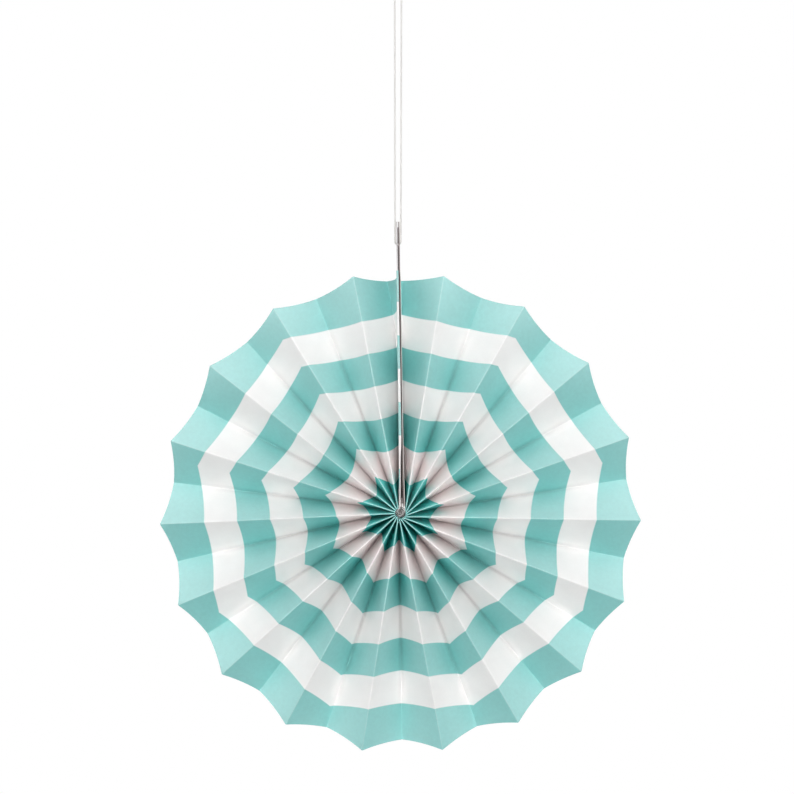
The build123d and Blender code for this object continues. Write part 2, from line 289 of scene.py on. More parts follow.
class Pleats:
    """Where the folded strip lies, worked out from its sizes."""

    def __init__(self, sizes):
        self.s = sizes
        self.last_fold = 2 * sizes.pleat_count
        self.half_fold = sizes.fold_width / 2
        self.furrow_radius = sizes.rim_radius - sizes.scallop_depth
        even_pitch = 2 * pi / self.last_fold
        self.seam_hub_y = self.half_depth(even_pitch, sizes.hub_radius)
        seam_rim_y = self.half_depth(even_pitch, sizes.rim_radius)
        self.seam_slope = (seam_rim_y - self.seam_hub_y) / (sizes.rim_radius - sizes.hub_radius)

    def seam_x(self, height):
        """Sideways place of the leaning seam's middle."""
        return tan(self.s.seam_lean) * (self.s.lean_pivot - height)

    def flap_offset(self, r):
        """From the seam's middle to an end panel, which follows its card."""
        return self.s.flap_offset + self.s.hub_flare * max(0.0, 1 - r / self.s.flare_start) ** 2

    def bulge(self, r):
        """How far the left end panel's fold stands off its card."""
        run = self.s.rim_radius - self.s.bulge_start
        return self.s.flap_bulge * (max(0.0, r - self.s.bulge_start) / run) ** 2

    def lip(self, r):
        """How far the left end panel's front edge curls over its card."""
        narrow = (self.s.lip_narrows + self.s.rim_radius) / 2
        outer = share_between(r, self.s.lip_narrows, narrow)
        width = self.s.lip_wide + (self.s.lip_width - self.s.lip_wide) * outer
        return width * share_between(r, self.s.lip_start, self.s.lip_full)

    def furrow_rim(self, j):
        """The rim's radius at furrow j."""
        return self.furrow_radius + (self.s.seam_rise if j in (0, self.last_fold) else 0.0)

    def fold_angle(self, j, r):
        """Angle of fold j: the folds share what the seam leaves of the circle."""
        first = asin((self.flap_offset(r) + self.seam_x(r)) / r) + self.half_fold / r
        last = 2 * pi - asin((self.flap_offset(r) - self.seam_x(r)) / r) - self.half_fold / r
        share = j / self.last_fold
        turn = first + (last - first) * share + self.s.sag_angle * sin(2 * pi * share)
        return turn - self.bulge(r) / r if j == self.last_fold else turn

    def half_depth(self, pitch, r):
        """Half the pleat's depth for folds this angle apart."""
        chord = 2 * r * sin(pitch / 2)
        return sqrt((self.s.panel_width - self.s.fold_width) ** 2 - (chord - self.s.fold_width) ** 2) / 2

    def seam_fold_y(self, height):
        """Depth of the end panels' folds, which run straight along the cards."""
        return self.seam_hub_y + self.seam_slope * (height - self.s.hub_radius)

    def fold_y(self, j, r):
        """Depth of fold j: ridges (odd) stand to the front, furrows (even) to the back."""
        if j in (0, self.last_fold):
            return self.seam_fold_y(r)
        pitch = (self.fold_angle(j + 1, r) - self.fold_angle(j - 1, r)) / 2
        return self.half_depth(pitch, r) * (-1 if j % 2 else 1)

    def panel_slope(self, j, r):
        """Slope of the panel between folds j and j + 1; the two end panels stand upright."""
        if j < 0 or j >= self.last_fold:
            return pi / 2
        run = r * (self.fold_angle(j + 1, r) - self.fold_angle(j, r)) - self.s.fold_width
        return np.arctan2(abs(self.fold_y(j + 1, r) - self.fold_y(j, r)), run)

    def fold_point(self, j, hand, step, r):
        """A point on the rounded edge of fold j's pressed flat, from its panel (0) to the flat (1).

        Gives the point and how far along the strip it lies from the fold's middle.
        """
        slope = self.panel_slope(j if hand > 0 else j - 1, r)
        turn = slope * (1 - step)
        flat = self.half_fold * (1 - tan(slope / 2))
        across = flat + self.half_fold * sin(turn)
        sink = self.half_fold * (1 - cos(turn))
        outward = -1 if j % 2 else 1
        bearing = self.fold_angle(j, r) + hand * across / r
        point = (r * sin(bearing), self.fold_y(j, r) - outward * sink, r * cos(bearing))
        return np.array(point), hand * (flat + self.half_fold * turn)

    def rim(self, j, share):
        """The rim's radius on the panel between folds j and j + 1, share of the way across."""
        furrow, ridge = (j + 1, j) if j % 2 else (j, j + 1)
        lowest = self.furrow_rim(furrow)
        pitch = abs(self.fold_angle(ridge, self.s.rim_radius) - self.fold_angle(furrow, lowest))
        half_chord = self.s.rim_radius * sin(pitch)
        rise = self.s.rim_radius * cos(pitch) - lowest
        radius = (half_chord**2 + rise**2) / (2 * rise)
        centre = lowest + radius
        off = pitch * (1 - share if j % 2 else share)
        return centre * cos(off) - sqrt(radius**2 - (centre * sin(off)) ** 2)

    def flap_rim(self, forward):
        """The rim's radius on an end panel: half a scallop from the fold to the front edge."""
        rise = self.s.scallop_depth - self.s.seam_rise
        radius = (self.s.panel_width**2 + rise**2) / (2 * rise)
        return self.furrow_rim(0) + radius - sqrt(radius**2 - forward**2)

    def radii(self, rim):
        """Radii of the mesh's rows, from the hub to this place on the rim."""
        shares = (np.arange(RADIAL_STEPS + 1) / RADIAL_STEPS) ** 1.1
        return self.s.hub_radius + (rim - self.s.hub_radius) * shares

    def fold_column(self, j, hand, step):
        """One line of the mesh on fold j, from hub to rim, with its places on the flat strip."""
        rim = self.s.rim_radius if j % 2 else self.furrow_rim(j)
        rows = [self.fold_point(j, hand, step, r) for r in self.radii(rim)]
        points = np.array([point for point, _ in rows])
        strip = np.array([(j + 1) * self.s.panel_width + along for _, along in rows])
        return points, strip, self.radii(rim)

    def panel_column(self, j, share):
        """One line of the mesh across the panel between folds j and j + 1."""
        pitch = 2 * pi / self.last_fold
        shorten = sqrt(1 - 4 * share * (1 - share) * sin(pitch / 2) ** 2)
        radii = self.radii(self.rim(j, share) / shorten)
        points = []
        strip = []
        for r in radii:
            near, near_along = self.fold_point(j, 1, 0, r)
            far, far_along = self.fold_point(j + 1, -1, 0, r)
            across = far - near
            outward = np.cross(across, near + far)
            outward /= np.linalg.norm(outward)
            bow = self.s.panel_bow * spread(j) * sin(pi * share) * (r / self.s.rim_radius) ** 2
            points.append(near + across * share + outward * bow)
            strip.append((j + 1) * self.s.panel_width + near_along
                         + (self.s.panel_width + far_along - near_along) * share)
        return np.array(points), np.array(strip), radii

    def flap_column(self, hand, forward, curl=0.0):
        """One line of the mesh on the right (1) or left (-1) end panel, forward of its fold.

        Curl is the share of the lip's width that the line is shifted over the card.
        """
        radii = self.radii(self.flap_rim(forward))
        half = self.s.panel_width / 2
        points = []
        for r in radii:
            off_card = self.bulge(r) * max(0.0, 1 - forward / half) ** 2 if hand < 0 else 0.0
            x = self.seam_x(r) + hand * (self.flap_offset(r) + off_card - curl * self.lip(r))
            points.append((x, self.seam_fold_y(r) - forward, sqrt(r**2 - x**2)))
        place = self.s.panel_width - forward
        end = (self.last_fold + 2) * self.s.panel_width
        strip = np.full(len(radii), place if hand > 0 else end - place)
        return np.array(points), strip, radii

    def columns(self):
        """All lines of the mesh in order along the strip, from the right end panel to the left one."""
        forwards = [self.s.panel_width * (1 - k / PANEL_STEPS) for k in range(PANEL_STEPS)]
        steps = [k / FOLD_STEPS for k in range(FOLD_STEPS + 1)]
        lines = [self.flap_column(1, forward) for forward in forwards]
        for j in range(self.last_fold + 1):
            lines += [self.fold_column(j, -1, step) for step in steps]
            lines += [self.fold_column(j, 1, step) for step in reversed(steps)]
            if j < self.last_fold:
                lines += [self.panel_column(j, k / PANEL_STEPS) for k in range(1, PANEL_STEPS)]
        lines += [self.flap_column(-1, forward) for forward in reversed(forwards[1:])]
        front = self.s.panel_width
        lines += [self.flap_column(-1, front - LIP_TURN), self.flap_column(-1, front, LIP_FIRST)]
        for k in range(1, LIP_STEPS + 1):
            lines.append(self.flap_column(-1, front + LIP_RISE * k, k / LIP_STEPS))
        return lines


def sheet_normals(points):
    """Unit normals of a grid of points, towards the printed side."""
    along = np.gradient(points, axis=0)
    outward = np.gradient(points, axis=1)
    normals = np.cross(along, outward)
    return normals / np.linalg.norm(normals, axis=2, keepdims=True)


def add_object(name, vertices, faces, smooth=True):
    """A new mesh object from vertices and faces."""
    mesh = bpy.data.meshes.new(name)
    mesh.from_pydata([tuple(v) for v in vertices], [], faces)
    mesh.validate()
    if smooth:
        mesh.shade_smooth()
    piece = bpy.data.objects.new(name, mesh)
    bpy.context.scene.collection.objects.link(piece)
    return piece


def grid_faces(columns, rows, first=0, flip=False):
    """Quads of a grid whose vertices are numbered column by column."""
    faces = []
    for i in range(columns - 1):
        for k in range(rows - 1):
            a = first + i * rows + k
            quad = (a, a + 1, a + rows + 1, a + rows)
            faces.append(quad[::-1] if flip else quad)
    return faces


def edge_ring(columns, rows):
    """Grid vertices round the sheet's edge, in order."""
    ring = [i * rows for i in range(columns)]
    ring += [(columns - 1) * rows + k for k in range(1, rows)]
    ring += [i * rows + rows - 1 for i in range(columns - 2, -1, -1)]
    ring += [k for k in range(rows - 2, 0, -1)]
    return ring


def paper_sheet(pleats):
    """The pleated strip as a closed sheet of two skins, with a map of the flat strip."""
    lines = pleats.columns()
    columns, rows = len(lines), RADIAL_STEPS + 1
    points = np.array([line[0] for line in lines])
    strip = np.array([line[1] for line in lines])
    radii = np.array([line[2] for line in lines])
    normals = sheet_normals(points)
    half = pleats.s.paper_thickness / 2
    hub = np.array(hub_place())
    skins = [(points + normals * side * half + hub).reshape(-1, 3) for side in (1, -1)]
    count = columns * rows
    faces = grid_faces(columns, rows, flip=True)
    faces += grid_faces(columns, rows, first=count)
    ring = edge_ring(columns, rows)
    faces += [(b, a, a + count, b + count) for a, b in zip(ring, ring[1:] + ring[:1])]
    piece = add_object("pleated_sheet", np.vstack(skins), faces)

    # the front and the edge at the hub are printed, the back and the other cut edges are bare
    skin = (columns - 1) * (rows - 1)
    bare_edges = len(ring) - (columns - 1)
    mesh = piece.data
    mesh.polygons.foreach_set(
        "material_index", [0] * skin + [1] * skin + [0] * (columns - 1) + [1] * bare_edges
    )
    flat = np.stack([strip, radii], axis=2).reshape(-1, 2)
    corners = np.empty(len(mesh.loops), dtype=np.int32)
    mesh.loops.foreach_get("vertex_index", corners)
    layer = mesh.uv_layers.new(name="FlatStrip")
    layer.data.foreach_set("uv", flat[corners % count].ravel().astype(np.float32))
    mesh.set_sharp_from_angle(angle=radians(60))
    return piece


def add_node(tree, kind, inputs=(), output=0, **settings):
    """Adds a node, sets its properties, fills its sockets with values or links, and gives an output.

    Inputs are listed in order, or keyed by socket where they don't start at the first one.
    """
    made = tree.nodes.new("ShaderNode" + kind)
    for name, value in settings.items():
        setattr(made, name, value)
    for socket, value in inputs.items() if isinstance(inputs, dict) else enumerate(inputs):
        if isinstance(value, bpy.types.NodeSocket):
            tree.links.new(value, made.inputs[socket])
        else:
            made.inputs[socket].default_value = value
    return made.outputs[output]


def new_material(name):
    """An empty material with its shader: gives the material, its node tree and the shader."""
    material = bpy.data.materials.new(name)
    material.use_nodes = True
    return material, material.node_tree, material.node_tree.nodes["Principled BSDF"]


def solid(rgb):
    """A colour property as a socket value."""
    return (*rgb, 1.0)


def tinted(tree, base, pattern, low, high, dark, light):
    """A colour shaded by a pattern, from dark where the pattern is low to light where it is high."""
    shade = add_node(tree, "MapRange", (pattern, low, high, dark, light), **SMOOTH)
    return add_node(tree, "Mix", {0: 1.0, 6: base, 7: shade}, 2, **MULTIPLY_COLOURS)


def finish_surface(tree, shader, tint, relief, strength, depth, roughness):
    """Gives a shader its colour, a fine relief and its roughness."""
    bump = add_node(tree, "Bump", {"Height": relief, "Strength": strength, "Distance": depth})
    tree.links.new(tint, shader.inputs["Base Color"])
    tree.links.new(bump, shader.inputs["Normal"])
    shader.inputs["Roughness"].default_value = roughness


def paper_surface(tree, shader, place, base, roughness, fibre_height):
    """What any sheet of paper shows: faint clouds, short fibres in relief and a dull surface."""
    clouds = add_node(tree, "TexNoise", {"Vector": place, "Scale": 1 / CLOUD_SIZE, "Detail": 3})
    fibres = add_node(
        tree, "TexNoise", {"Vector": place, "Scale": 1 / FIBRE_SIZE, "Detail": 4, "Roughness": 0.7}
    )
    tint = tinted(tree, base, clouds, 0.3, 0.7, 0.965, 1.0)
    tint = tinted(tree, tint, fibres, 0.3, 0.75, 0.985, 1.01)
    finish_surface(tree, shader, tint, fibres, 0.25, fibre_height, roughness)
    shader.inputs["IOR"].default_value = 1.5


def printed_paper(sizes, bands, colours):
    """Offset-printed heavy paper: flat mint ink with crisp scalloped edges on a bright white sheet.

    The ink lies in the sheet, so both are dull with a faint sheen. Ridges crack the ink a little and
    let the white through, plus a painted highlight that grows towards the hub; furrows get painted shade.
    """
    material, tree, shader = new_material("offset_printed_paper")
    flat = add_node(tree, "UVMap", uv_map="FlatStrip")
    along = add_node(tree, "SeparateXYZ", (flat,))
    height = along.node.outputs[1]

    # the bands' edges are a row of arcs along the strip, and the bands follow each other inwards
    strip_length = (2 * sizes.pleat_count + 2) * sizes.panel_width
    scallops = add_node(tree, "Math", (along, bands.scallop_count / strip_length), operation="MULTIPLY")
    place = add_node(tree, "Math", (scallops,), operation="FRACT")
    from_middle = add_node(tree, "Math", (place, 2.0, -1.0), operation="MULTIPLY_ADD")
    cusp = add_node(tree, "Math", (from_middle, from_middle), operation="MULTIPLY")
    lowest = bands.first_edge - bands.dip
    edge = add_node(tree, "Math", (cusp, bands.dip, lowest), operation="MULTIPLY_ADD")
    inward = add_node(tree, "Math", (edge, height), operation="SUBTRACT")
    band = add_node(tree, "Math", (inward, bands.band_width), operation="DIVIDE")
    band = add_node(tree, "Clamp", (band, FIRST_BAND, LAST_BAND))
    turn = add_node(tree, "Math", (band, pi), operation="MULTIPLY")
    wave = add_node(tree, "Math", (turn,), operation="SINE")
    blur = pi * bands.soft_edge / bands.band_width
    bare = add_node(tree, "MapRange", (wave, -blur, blur), **SMOOTH)

    mottle = add_node(
        tree, "TexNoise", {"Vector": flat, "Scale": 1 / MOTTLE_SIZE, "Detail": 3, "Roughness": 0.6}
    )
    # painted shade: towards the hub the ink turns darker and more saturated, as the shade deep in the
    # pleats
    hub_shade_share = add_node(tree, "MapRange", (height, bands.deep_start, bands.deep_full), **SMOOTH)
    inks = {0: hub_shade_share, 6: solid(colours.mint_ink), 7: solid(colours.hub_shade_ink)}
    ink = tinted(tree, add_node(tree, "Mix", inks, 2, **MIX_COLOURS), mottle, 0.3, 0.7, 0.97, 1.02)
    # painted light: towards the hub the bare sheet turns lighter and pinker, lifting and tinting the shade
    # in the deep pleats
    painted_light_share = add_node(tree, "MapRange", (height, bands.painted_light_start, bands.painted_light_full), **SMOOTH)
    whites = {0: painted_light_share, 6: solid(colours.white_paper), 7: solid(colours.painted_light_paper)}
    unprinted = add_node(tree, "Mix", whites, 2, **MIX_COLOURS)
    sheet = add_node(tree, "Mix", {0: bare, 6: ink, 7: unprinted}, 2, **MIX_COLOURS)

    # ridges lie at even panel widths along the strip, furrows at odd ones
    to_ridge = add_node(tree, "Math", (along, sizes.panel_width), operation="PINGPONG")
    to_furrow = add_node(tree, "Math", (sizes.panel_width, to_ridge), operation="SUBTRACT")
    cracks = add_node(
        tree, "TexNoise", {"Vector": flat, "Scale": 1 / CRACK_SIZE, "Detail": 3, "Roughness": 0.7}
    )
    cracked = add_node(tree, "MapRange", (cracks, 0.35, 0.65, 0.4, 1.0), **SMOOTH)
    # ridges turn white: cracked, worn ink, plus a painted highlight that grows towards the hub
    ridge = add_node(tree, "MapRange", (to_ridge, bands.wear_and_highlight_reach, bands.wear_and_highlight_full), **SMOOTH)
    most = add_node(tree, "MapRange", (height, bands.deep_start, bands.wear_and_highlight_inner, 0.12, 0.34), **SMOOTH)
    worn = add_node(tree, "Math", (ridge, cracked), operation="MULTIPLY")
    worn = add_node(tree, "Math", (worn, most), operation="MULTIPLY")
    sheet = add_node(tree, "Mix", {0: worn, 6: sheet, 7: solid(colours.white_paper)}, 2, **MIX_COLOURS)
    # painted shade: the sheet darkens near each furrow, more towards the hub, as the shade that falls in
    # the furrows
    furrow = add_node(tree, "MapRange", (to_furrow, bands.furrow_shade_reach, 0.0), **SMOOTH)
    inner = add_node(tree, "MapRange", (height, bands.furrow_shade_start, bands.furrow_shade_full, 0.0, 0.22), **SMOOTH)
    dull = add_node(tree, "Math", (furrow, inner), operation="MULTIPLY")
    left = add_node(tree, "Math", (1.0, dull), operation="SUBTRACT")
    sheet = add_node(tree, "Mix", {0: 1.0, 6: sheet, 7: left}, 2, **MULTIPLY_COLOURS)
    paper_surface(tree, shader, flat, sheet, roughness=0.74, fibre_height=0.05 * MM)
    return material


def paper_back(colours):
    """The same sheet's unprinted back: bright white, dull, with faint fibres."""
    material, tree, shader = new_material("uncoated_paper_back")
    place = add_node(tree, "TexCoord", output="Object")
    white = solid(colours.paper_back)
    paper_surface(tree, shader, place, white, roughness=0.8, fibre_height=0.06 * MM)
    return material


def board_layers(tree, place):
    """The fine layers of board, which run along its cut edges."""
    stretch = add_node(tree, "Mapping", {0: place, 3: (6.0, 0.35, 0.35)})
    return add_node(tree, "TexNoise", {"Vector": stretch, "Scale": 1 / LAYER_SIZE, "Detail": 3})


def bleached_board(colours):
    """Die-cut bleached board: smooth white faces with a faint streak of its layers."""
    material, tree, shader = new_material("bleached_board")
    place = add_node(tree, "TexCoord", output="Object")
    white = solid(colours.white_card)
    base = tinted(tree, white, board_layers(tree, place), 0.35, 0.65, 0.9, 1.0)
    paper_surface(tree, shader, place, base, roughness=0.7, fibre_height=0.05 * MM)
    return material


def board_edge(name, rgb):
    """The cut edge of layered board: rough, greyer than its faces, with fine layers along it."""
    material, tree, shader = new_material(name)
    place = add_node(tree, "TexCoord", output="Object")
    base = tinted(tree, solid(rgb), board_layers(tree, place), 0.3, 0.7, 0.75, 1.05)
    paper_surface(tree, shader, place, base, roughness=0.85, fibre_height=0.08 * MM)
    return material


def adhesive_strip(colours):
    """Double-sided foam tape: dull brownish foam with small closed cells, its dark tone painted shade for
    the gap between the cards.
    """
    material, tree, shader = new_material("foam_tape")
    place = add_node(tree, "TexCoord", output="Object")
    cells = add_node(tree, "TexVoronoi", {"Vector": place, "Scale": 1 / CELL_SIZE})
    tint = tinted(tree, solid(colours.tape), cells, 0.0, 0.6, 0.86, 1.0)
    finish_surface(tree, shader, tint, cells, strength=0.4, depth=0.05 * MM, roughness=0.65)
    return material


def cotton(name, rgb, fibre, dark):
    """Twisted cotton: soft and dull, with fine fibres along it and darker hollows between the plies."""
    material, tree, shader = new_material(name)
    place = add_node(tree, "TexCoord", output="Object")
    fibres = add_node(
        tree, "TexNoise", {"Vector": place, "Scale": 1 / fibre, "Detail": 4, "Roughness": 0.7}
    )
    tint = tinted(tree, solid(rgb), fibres, 0.3, 0.7, dark, 1.03)
    finish_surface(tree, shader, tint, fibres, strength=0.6, depth=0.3 * fibre, roughness=0.9)
    shader.inputs["Sheen Weight"].default_value = 0.25
    shader.inputs["Sheen Roughness"].default_value = 0.5
    return material


def rounded_route(points, share, step):
    """A route through points with an arc at each corner, as evenly spaced points in metres."""
    corners = [Vector(point) * MM for point in points]
    dense = [corners[0]]
    for before, here, after in zip(corners, corners[1:], corners[2:]):
        inward, outward = (here - before).normalized(), (after - here).normalized()
        turn = inward.angle(outward)
        reach = share * min((here - before).length, (after - here).length)
        radius = reach / tan(turn / 2)
        to_centre = ((outward - inward) / (2 * sin(turn / 2))).normalized()
        centre = here + to_centre * (radius / cos(turn / 2))
        axis = inward.cross(outward)
        start = here - inward * reach - centre
        arcs = max(3, ceil(turn / radians(8)))
        dense += [centre + Matrix.Rotation(turn * k / arcs, 3, axis) @ start for k in range(arcs + 1)]
    dense.append(corners[-1])
    return even_points(dense, step)


def even_points(points, step):
    """Points at even steps along a polyline."""
    line = np.array([tuple(point) for point in points])
    travelled = np.concatenate([[0], np.cumsum(np.linalg.norm(np.diff(line, axis=0), axis=1))])
    places = np.linspace(0, travelled[-1], max(2, ceil(travelled[-1] / step) + 1))
    return np.stack([np.interp(places, travelled, line[:, axis]) for axis in range(3)], axis=1)


def carried_frames(path):
    """Two directions across a path at each point, carried along it without twisting."""
    tangents = np.gradient(path, axis=0)
    tangents /= np.linalg.norm(tangents, axis=1, keepdims=True)
    across = np.cross(tangents[0], (0.3, 1.0, 0.2))
    frames = []
    for tangent in tangents:
        across = across - tangent * across.dot(tangent)
        across /= np.linalg.norm(across)
        frames.append((across, np.cross(tangent, across)))
    return frames


def tube(path, radius, sides=8):
    """Vertices and faces of a closed tube along a path; radius may change along it."""
    path = np.asarray(path)
    radii = np.broadcast_to(radius, len(path))
    vertices = []
    for point, (u, v), r in zip(path, carried_frames(path), radii):
        for k in range(sides):
            turn = 2 * pi * k / sides
            vertices.append(point + (u * cos(turn) + v * sin(turn)) * r)
    faces = []
    for i in range(len(path) - 1):
        for k in range(sides):
            a, b = i * sides + k, i * sides + (k + 1) % sides
            faces.append((a, b, b + sides, a + sides))
    faces.append(tuple(range(sides))[::-1])
    faces.append(tuple(range((len(path) - 1) * sides, len(path) * sides)))
    return vertices, faces


def join(parts):
    """Several lists of vertices and faces as one."""
    vertices, faces = [], []
    for part_vertices, part_faces in parts:
        shift = len(vertices)
        vertices += list(part_vertices)
        faces += [tuple(index + shift for index in face) for face in part_faces]
    return vertices, faces


def plied(path, diameter, lay, plies=2, sides=8):
    """A twisted cord along a path: its plies wind round each other, one turn in each lay."""
    path = np.asarray(path)
    travelled = np.concatenate([[0], np.cumsum(np.linalg.norm(np.diff(path, axis=0), axis=1))])
    frames = carried_frames(path)
    ply_radius = 0.3 * diameter
    offset = diameter / 2 - ply_radius
    parts = []
    for ply in range(plies):
        turns = 2 * pi * (travelled / lay + ply / plies)
        centre = [p + (u * cos(t) + v * sin(t)) * offset for p, (u, v), t in zip(path, frames, turns)]
        parts.append(tube(centre, ply_radius, sides))
    return join(parts)


def frayed_end(tip, direction, diameter, seed):
    """Loose fibres at a cut end."""
    parts = []
    direction = Vector(direction).normalized()
    for k in range(14):
        lean = Vector((spread(seed + k), spread(seed + k + 40), spread(seed + k + 80)))
        reach = diameter * (1.3 + 0.5 * spread(seed + k + 120))
        root = Vector(tip) + lean * diameter * 0.28 - direction * diameter * 0.5
        bend = root + direction * reach * 0.6 + lean * diameter * 0.15
        end = bend + direction * reach * 0.4 + lean * diameter * 0.5
        parts.append(tube(even_points([root, bend, end], reach / 4), 0.0425 * diameter, 4))
    return join(parts)


def place_piece(piece, slot, *nodes):
    """Fixes a piece to the object in place of CAD nodes; the slot is not used."""
    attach(piece, "root")
    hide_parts(*nodes)
    return piece


class PAPERFAN_OT_pleated_sheet(bpy.types.Operator):
    """Builds the printed, pleated strip"""

    bl_idname = "paperfan.pleated_sheet"
    bl_label = "Pleated Sheet"

    def execute(self, context):
        scene = context.scene
        piece = paper_sheet(Pleats(scene.fan_sizes))
        piece.data.materials.append(printed_paper(scene.fan_sizes, scene.fan_print, scene.fan_colours))
        piece.data.materials.append(paper_back(scene.fan_colours))
        place_piece(piece, "printed_paper", "pleated_paper")
        return {"FINISHED"}


class PAPERFAN_OT_end_cards(bpy.types.Operator):
    """Builds the two cards at the seam from the CAD cards, with softened cut edges"""

    bl_idname = "paperfan.end_cards"
    bl_label = "End Cards"

    def execute(self, context):
        colours = context.scene.fan_colours
        white = bleached_board(colours)
        edges = {
            "left_end_card": board_edge("pale_board_edge", colours.pale_edge),
            "right_end_card": board_edge("grey_board_edge", colours.grey_edge),
        }
        for node, edge in edges.items():
            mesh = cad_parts[node].data.copy()
            mesh.name = node + "_board"
            work = bmesh.new()
            work.from_mesh(mesh)
            bmesh.ops.remove_doubles(work, verts=work.verts, dist=0.001 * MM)
            sharp = [e for e in work.edges if e.is_manifold and e.calc_face_angle() > radians(40)]
            rounding = context.scene.fan_sizes.card_bevel
            bmesh.ops.bevel(work, geom=sharp, offset=rounding, segments=2, profile=0.5, affect="EDGES")
            for face in work.faces:
                face.material_index = 0 if abs(face.normal.x) > 0.9 else 1
            mesh.materials.clear()
            mesh.materials.append(white)
            mesh.materials.append(edge)
            work.to_mesh(mesh)
            work.free()
            piece = bpy.data.objects.new(node + "_board", mesh)
            context.scene.collection.objects.link(piece)
            place_piece(piece, "white_card", node)
        return {"FINISHED"}


class PAPERFAN_OT_seam_tape(bpy.types.Operator):
    """Gives the adhesive strip between the cards its finish"""

    bl_idname = "paperfan.seam_tape"
    bl_label = "Seam Tape"

    def execute(self, context):
        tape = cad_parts["seam_tape"]
        tape.data.materials.clear()
        tape.data.materials.append(adhesive_strip(context.scene.fan_colours))
        return {"FINISHED"}


class PAPERFAN_OT_binding_thread(bpy.types.Operator):
    """Builds the thread that draws the panels together at the hub, with its knot and tails"""

    bl_idname = "paperfan.binding_thread"
    bl_label = "Binding Thread"

    def execute(self, context):
        sizes = context.scene.fan_twists
        hub = hub_place()
        pleats = Pleats(context.scene.fan_sizes)
        thick, lay = sizes.thread_diameter, sizes.thread_lay
        lean = asin(pleats.seam_x(sizes.ring_radius) / sizes.ring_radius)
        turns = [lean + 2 * pi * k / 240 for k in range(241)]
        ring = [hub + Vector((sin(t), 0, cos(t))) * sizes.ring_radius for t in turns]
        knot = ring[0]
        parts = [plied(ring, thick, lay)]
        wraps = []
        for t in np.linspace(0, 2 * pi * KNOT_TURNS, 70):
            along = KNOT_PITCH * t / (2 * pi) - KNOT_START
            wraps.append(knot + Vector((KNOT_WIND * cos(t), along, KNOT_WIND * sin(t))))
        parts.append(plied(wraps, thick, lay))
        for number, tail in enumerate(THREAD_TAILS):
            route = rounded_route([(0, 0, 0), *tail], THREAD_BEND, 0.2 * MM)
            wander = [Vector((0.12 * MM * sin(900 * k * MM + number), 0, 0)) for k in range(len(route))]
            line = [knot + Vector(point) + off for point, off in zip(route, wander)]
            parts.append(plied(line, thick, lay))
            parts.append(frayed_end(line[-1], line[-1] - line[-3], thick, 7 + 50 * number))
        middle = hub + Vector((0, sizes.hub_knot_depth, 0))
        parts.append(plied(even_points([knot, middle], 0.2 * MM), thick, lay))
        parts.append(plied(self.hub_knot(sizes, middle), thick, lay))
        piece = add_object("binding_thread_twist", *join(parts))
        piece.data.materials.append(
            cotton("speckled_cotton_thread", context.scene.fan_colours.thread, 0.35 * MM, 0.55)
        )
        place_piece(piece, "binding_thread", "binding_thread")
        return {"FINISHED"}

    def hub_knot(self, sizes, middle):
        """The wound end in the hub: an uneven dished spiral in front, then turns towards the back."""
        thick = sizes.thread_diameter
        widest = sizes.hub_knot_radius - thick / 2
        near = -sizes.hub_knot_length / 2 + thick
        path = []
        spiral = np.arange(0, 2 * pi * widest / thick, WIND_STEP)
        for bearing in spiral:
            radius = min(thick * bearing / (2 * pi), widest) * (0.93 + 0.07 * sin(2.3 * bearing))
            dish = 2 * MM * max(0.0, 1 - radius / (0.6 * widest))
            wander = 0.3 * MM * sin(1.7 * bearing)
            path.append((radius * cos(bearing), near + dish + wander, radius * sin(bearing)))
        start = spiral[-1]
        turned = 2 * pi * (sizes.hub_knot_length / thick - 1.5)
        for bearing in np.arange(start, start + turned, WIND_STEP):
            depth = near + thick * (bearing - start) / (2 * pi)
            path.append((widest * cos(bearing), depth, widest * sin(bearing)))
        return [middle + Vector(point) for point in path]


class PAPERFAN_OT_string_loop(bpy.types.Operator):
    """Builds the hanging string and the knot that closes its loop"""

    bl_idname = "paperfan.string_loop"
    bl_label = "String Loop"

    def execute(self, context):
        sizes = context.scene.fan_twists
        finish = cotton("twisted_cotton_string", context.scene.fan_colours.string, 0.45 * MM, 0.82)
        thick, lay = sizes.string_diameter, sizes.string_lay
        path = rounded_route(STRING_ROUTE, STRING_BEND, 0.35 * MM)
        string = add_object("string_loop", *plied(path, thick, lay, plies=3))
        string.data.materials.append(finish)
        place_piece(string, "string", "hanging_string")

        knot = add_object("string_loop_knot", *self.knot(sizes))
        knot.data.materials.append(finish)
        place_piece(knot, "string", "string_knot")
        return {"FINISHED"}

    def knot(self, sizes):
        """The wrapped knot with its two frayed tails."""
        thick, lay = sizes.string_diameter, sizes.string_lay
        base = STRING_ROUTE[0][2] * MM
        winding = sizes.knot_radius - thick / 2
        turns = sizes.knot_height / thick
        wrap = []
        for t in np.linspace(0, 1, 150):
            bearing = 2 * pi * turns * t
            tilt = 0.35 * MM * sin(bearing)
            rise = base + thick / 2 + (sizes.knot_height - thick) * t + tilt * (1 - abs(2 * t - 1))
            wrap.append((winding * cos(bearing), winding * sin(bearing), rise))
        parts = [plied(wrap, thick, lay, plies=3)]
        for hand in (-1, 1):
            foot = Vector((hand * 0.75 * MM, 0, base + 0.3 * sizes.knot_height))
            shoulder = Vector((hand * 0.95 * MM, 0.2 * hand * MM, base + sizes.knot_height))
            slant = Vector((hand * sin(radians(14)), 0, cos(radians(14))))
            tip = shoulder + slant * (sizes.tail_length - 1 * MM)
            line = even_points([foot, shoulder, tip], 0.3 * MM)
            parts.append(plied(line, thick, lay, plies=3))
            parts.append(frayed_end(tip, tip - shoulder, thick, 300 + 20 * hand))
        return join(parts)


